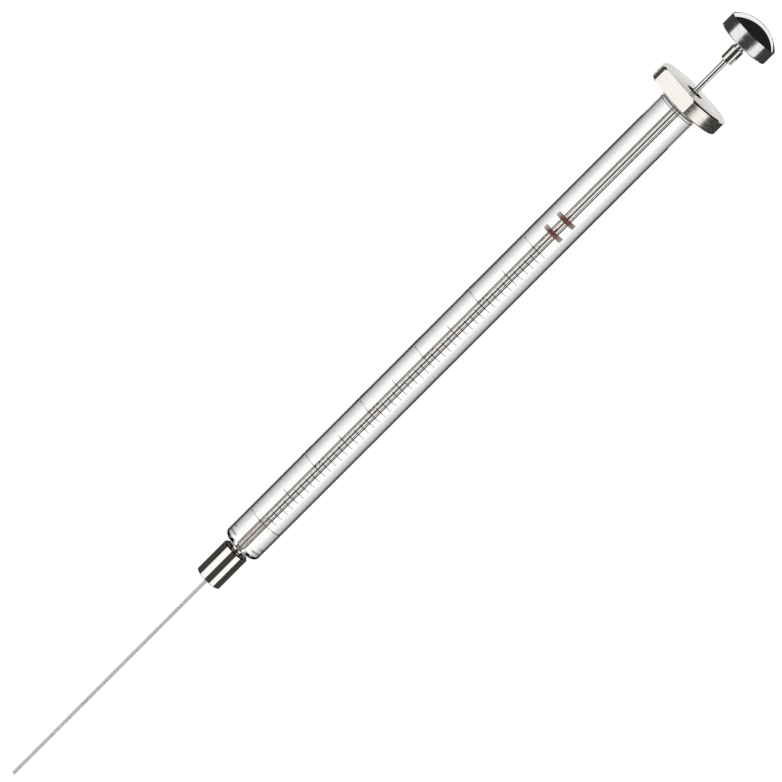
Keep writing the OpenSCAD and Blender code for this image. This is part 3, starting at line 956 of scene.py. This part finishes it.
flange_lo, flange_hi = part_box("finger_flange")
flange_x0, flange_x1 = flange_lo.x / MM, flange_hi.x / MM
FLANGE_R = 6.5
FLATS = flange_hi.z / MM
FLANGE_CHAMFER = 0.15
BACK_CHAMFER = 0.24
BEAD_RISE = 0.43
BEAD_CURVE = 1.6
BEAD_FOOT = 0.12
SOCKET_R = 3.05
SOCKET_GAP = 0.003

# cream epoxy, glossy and half clear, with clouds 0.9 mm wide, and thin dark lines of painted shade across it,
# each at (distance from the bead's start, half width)
SHADE_LINES = ((0.03, 0.05), (0.40, 0.045), (0.56, 0.06))
CLEAR_COVER = 0.16
cream_epoxy, tree = new_material("epoxy_cream")
place_of = add(tree, "ShaderNodeTexCoord").outputs["Object"]
cloud = add(tree, "ShaderNodeTexNoise", {"Vector": place_of, "Scale": 1.1 / MM, "Detail": 4.0})
shown = add(tree, "ShaderNodeMix", {"Factor": cloud, "A": linear("#efe4de"), "B": linear("#fffaf6")},
            data_type="RGBA")
along = add(tree, "ShaderNodeSeparateXYZ", {0: place_of}).outputs["X"]
covered = CLEAR_COVER
# each line is painted shade: a dark stripe that also makes the epoxy less clear
for offset, half_width in SHADE_LINES:
    away = add(tree, "ShaderNodeMath", {0: along, 1: (BEAD_X + offset) * MM}, operation="SUBTRACT")
    away = add(tree, "ShaderNodeMath", {0: away}, operation="ABSOLUTE")
    edge = add(tree, "ShaderNodeMapRange", {"Value": away, "From Min": 0.5 * half_width * MM,
                                            "From Max": 1.5 * half_width * MM, "To Min": 0.9, "To Max": 0.0})
    shown = add(tree, "ShaderNodeMix", {"Factor": edge, "A": shown, "B": linear("#2e2625")}, data_type="RGBA")
    covered = add(tree, "ShaderNodeMath", {0: edge, 1: covered}, operation="MAXIMUM")
gloss = add(tree, "ShaderNodeMapRange", {"Value": cloud, "To Min": 0.2, "To Max": 0.5})
bump = add(tree, "ShaderNodeBump", {"Height": cloud, "Distance": 0.01 * MM})
shader = add(tree, "ShaderNodeBsdfPrincipled", {"Base Color": shown, "Roughness": gloss, "Normal": bump,
                                                "Alpha": covered})
add(tree, "ShaderNodeOutputMaterial", {"Surface": shader})
socket_cement = mesh_object("socket_cement", lathe("socket_cement", [
    (BEAD_X, SEAT_R - WETS),
    (BEAD_X, BARREL_R + 0.002),
    (BEAD_X + BEAD_FOOT, BARREL_R + WETS),
    *arc(BEAD_X + BEAD_FOOT, BARREL_R + WETS + BEAD_CURVE, BEAD_CURVE, 275, 318, 8),
    (flange_x0 - SOCKET_GAP, BARREL_R + BEAD_RISE),
    (flange_x0 - SOCKET_GAP, SOCKET_R - WETS),
    (glass_x1, SOCKET_R - WETS),
    (glass_x1, SEAT_R - WETS),
], around=192), cream_epoxy)
place(socket_cement, "barrel", "cement", "flange_cement")


# ---------------------------------------------------------------------------
# Finger flange: a disc turned from bar, milled to two flats, then satin finished
# and nickel plated. The barrel is cemented into its socket.

ROD_HOLE_R = 1.35
ROD_HOLE_CHAMFER = 0.12
flange_mesh = lathe("flange_blank", [
    (flange_x0, SOCKET_R),
    (flange_x0, FLANGE_R - FLANGE_CHAMFER),
    (flange_x0 + FLANGE_CHAMFER, FLANGE_R),
    (flange_x1 - BACK_CHAMFER, FLANGE_R),
    (flange_x1, FLANGE_R - BACK_CHAMFER),
    (flange_x1, ROD_HOLE_R + ROD_HOLE_CHAMFER),
    (flange_x1 - ROD_HOLE_CHAMFER, ROD_HOLE_R),
    (glass_x1, ROD_HOLE_R),
    (glass_x1, SOCKET_R),
], around=256)
cut = bmesh.new()
cut.from_mesh(flange_mesh)
for side in (1, -1):
    bmesh.ops.bisect_plane(cut, geom=cut.verts[:] + cut.edges[:] + cut.faces[:],
                           plane_co=(0, 0, side * FLATS * MM), plane_no=(0, 0, side), clear_outer=True)
    rim = [edge for edge in cut.edges if edge.is_boundary]
    bmesh.ops.contextual_create(cut, geom=rim)
bmesh.ops.recalc_face_normals(cut, faces=cut.faces)
cut.to_mesh(flange_mesh)
cut.free()
flange_mesh.shade_smooth()
flange_mesh.set_sharp_from_angle(angle=math.radians(30))


def satin_nickel(name, colour, tint, rough, rough_worn, depth_mm, grey=0.0):
    """Nickel over a fine matt ground, with the rings of the facing cut. grey is how far they stand out."""
    material, tree = new_material(name)
    place_of = add(tree, "ShaderNodeTexCoord").outputs["Object"]
    to_mm = add(tree, "ShaderNodeMapping", {"Vector": place_of, "Scale": (1 / MM, 1 / MM, 1 / MM)})
    along = add(tree, "ShaderNodeSeparateXYZ", {0: to_mm}).outputs["X"]
    outward = add(tree, "ShaderNodeVectorMath", {0: to_mm, 1: (0, 1, 1)}, operation="MULTIPLY")
    radius = add(tree, "ShaderNodeVectorMath", {0: outward}, operation="LENGTH")
    # rings about 0.3 mm apart, coarser than the tool's feed so that they show
    ring_place = add(tree, "ShaderNodeCombineXYZ", {"X": radius, "Y": along})
    ring_scaled = add(tree, "ShaderNodeMapping", {"Vector": ring_place, "Scale": (3.5, 3.5, 1.0)})
    rings = add(tree, "ShaderNodeTexNoise", {"Vector": ring_scaled, "Scale": 1.0, "Detail": 3.0})
    # grit of 0.2 mm, as coarse as it needs to show, and clouds 2.5 mm wide in the tone
    blast = add(tree, "ShaderNodeTexNoise", {"Vector": to_mm, "Scale": 5.0, "Detail": 4.0, "Roughness": 0.65})
    cloud = add(tree, "ShaderNodeTexNoise", {"Vector": to_mm, "Scale": 0.4, "Detail": 3.0})
    texture = add(tree, "ShaderNodeMath", {0: rings, 1: blast}, operation="ADD")
    warm = add(tree, "ShaderNodeMix", {"Factor": cloud, "A": linear(colour), "B": linear(tint)},
               data_type="RGBA")
    pits = add(tree, "ShaderNodeMapRange", {"Value": texture, "From Min": 0.85, "From Max": 1.15,
                                            "To Min": grey, "To Max": 0.0})
    worn = add(tree, "ShaderNodeMix", {"Factor": pits, "A": warm, "B": linear("#6f6a66")}, data_type="RGBA")
    rough_here = add(tree, "ShaderNodeMapRange", {"Value": texture, "From Min": 0.7, "From Max": 1.3,
                                                  "To Min": rough, "To Max": rough_worn})
    bump = add(tree, "ShaderNodeBump", {"Height": texture, "Distance": depth_mm * MM})
    shader = add(tree, "ShaderNodeBsdfPrincipled", {"Base Color": worn, "Metallic": 1.0,
                                                    "Roughness": rough_here, "Normal": bump})
    add(tree, "ShaderNodeOutputMaterial", {"Surface": shader})
    return material


# satin nickel on the rim and the flats: warm and pale, with a fine grit in it
rim_nickel = satin_nickel("nickel_plated_satin", "#fefbf4", "#f8f3ec", 0.18, 0.32, 0.008)
# the back, left greyer by the facing cut
faced_nickel = satin_nickel("nickel_plated_faced", "#f0eeeb", "#dedbd8", 0.22, 0.36, 0.012, grey=0.45)
# inside the rod's hole and the socket: painted shade, a dark nickel in place of the shade in these recesses
hole_shade_nickel = satin_nickel("nickel_painted_shade_in_hole", "#4a4644", "#3a3634", 0.45, 0.60, 0.004)
# the chamfer at the back, turned bright: it mirrors the dark end of the room
chamfer_nickel = satin_nickel("nickel_plated_chamfer", "#d6d3cf", "#c8c4c0", 0.05, 0.10, 0.001)
for finish in (rim_nickel, faced_nickel, hole_shade_nickel, chamfer_nickel):
    flange_mesh.materials.append(finish)
for face in flange_mesh.polygons:
    middle = face.center / MM
    out = math.hypot(middle.y, middle.z)
    if face.normal.x > 0.95 and middle.x > flange_x1 - 0.01:
        face.material_index = 1
    elif face.normal.x > 0.4 and out > FLATS and middle.x > flange_x1 - BACK_CHAMFER:
        face.material_index = 3
    elif out < SOCKET_R + 0.02 and middle.x > flange_x0 + 0.01:
        face.material_index = 2
flange = mesh_object("finger_flange_nickel", flange_mesh)
place(flange, "barrel", "flange_steel", "finger_flange")


# ---------------------------------------------------------------------------
# Plunger rod: stainless steel wire, centreless ground and lapped to its own barrel.
# It slides in the bore through the hole in the flange, and the collar holds its rear end.

rod_lo, rod_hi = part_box("plunger_rod")
rod_x0, rod_x1 = rod_lo.x / MM, rod_hi.x / MM
ROD_R = 0.5
ROD_CHAMFER = 0.05

# ground steel: brighter and smoother than the needle, with grinding lines round it
rod_steel = metal("stainless_steel_ground", "#fbfaf7", "#f4f2ee", 0.09, 0.16, 0.05, 0.0002)
rod = mesh_object("plunger_rod_ground", lathe("plunger_rod_ground", [
    (rod_x0, 0.0),
    (rod_x0, ROD_R - ROD_CHAMFER),
    (rod_x0 + ROD_CHAMFER, ROD_R),
    (rod_x1, ROD_R),
    (rod_x1, 0.0),
], around=128), rod_steel)
place(rod, "plunger", "rod_steel", "plunger_rod")


# ---------------------------------------------------------------------------
# Rod collar: a small plated collar soldered on the end of the rod. Its neck carries
# the button, and its stub is pressed into it.

collar_lo, collar_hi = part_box("rod_collar")
collar_x0, stub_x1 = collar_lo.x / MM, collar_hi.x / MM
button_lo, button_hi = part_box("button")
button_x0, button_x1 = button_lo.x / MM, button_hi.x / MM
COLLAR_R = collar_hi.z / MM
COLLAR_L = 2.7
COLLAR_CHAMFER = 0.1
COLLAR_HOLE_R = ROD_R - 0.003
COLLAR_HOLE_L = 2.2
NECK_RING_R = 0.78
STUB_R = 0.6
SHORT_OF_BUTTON = 0.004
SHORT_OF_END = 0.05
collar_x1 = collar_x0 + COLLAR_L

# chromium plate over turned brass, bright but less polished than the button
collar_chrome = metal("chromium_plated_turned", "#efece7", "#e6e2dc", 0.06, 0.14, 0.12, 0.0004)
collar = mesh_object("rod_collar_plated", lathe("rod_collar_plated", [
    (collar_x0, COLLAR_HOLE_R),
    (collar_x0, COLLAR_R - COLLAR_CHAMFER),
    (collar_x0 + COLLAR_CHAMFER, COLLAR_R),
    (collar_x1 - COLLAR_CHAMFER, COLLAR_R),
    (collar_x1, COLLAR_R - COLLAR_CHAMFER),
    (collar_x1, NECK_RING_R),
    (button_x0 - SHORT_OF_BUTTON, NECK_RING_R),
    (button_x0 - SHORT_OF_BUTTON, STUB_R),
    (stub_x1 - SHORT_OF_END, STUB_R - 0.002),
    (stub_x1 - SHORT_OF_END, 0.0),
    (collar_x0 + COLLAR_HOLE_L, 0.0),
    (collar_x0 + COLLAR_HOLE_L, COLLAR_HOLE_R),
], around=128), collar_chrome)
place(collar, "plunger", "collar_chrome", "rod_collar")


# ---------------------------------------------------------------------------
# Button: a domed thumb button turned from brass and chromium plated. Its side keeps
# faint turning rings, and the dome is polished to a mirror.

BUTTON_R = button_hi.z / MM
DOME_H = 1.85
EDGE_R = 0.3
dome_x = button_x1 - DOME_H
DOME_RADIUS = (BUTTON_R ** 2 + DOME_H ** 2) / (2 * DOME_H)
dome_angle = math.degrees(math.asin(BUTTON_R / DOME_RADIUS))
dome_points = arc(button_x1 - DOME_RADIUS, 0.0, DOME_RADIUS, dome_angle, 0, 32)

# mirror chromium on the dome, and the same plate over turning rings on the side
dome_chrome = metal("chromium_plated_dome", "#efece9", "#e9e6e2", 0.03, 0.06, 0.30, 0.00005)
side_chrome = metal("chromium_plated_turned_side", "#f4f2f2", "#e6e5e5", 0.12, 0.26, 0.13, 0.0012,
                    specks=0.30)
button_mesh = lathe("thumb_button", [
    (button_x0, 0.0),
    *arc(button_x0 + EDGE_R, BUTTON_R - EDGE_R, EDGE_R, 180, 90, 8),
    (dome_x, BUTTON_R),
    *dome_points[1:-1],
    (button_x1, 0.0),
], around=256)
for finish in (dome_chrome, side_chrome):
    button_mesh.materials.append(finish)
for face in button_mesh.polygons:
    if face.center.x / MM < dome_x:
        face.material_index = 1
button = mesh_object("thumb_button", button_mesh)
place(button, "plunger", "button_chrome", "button")
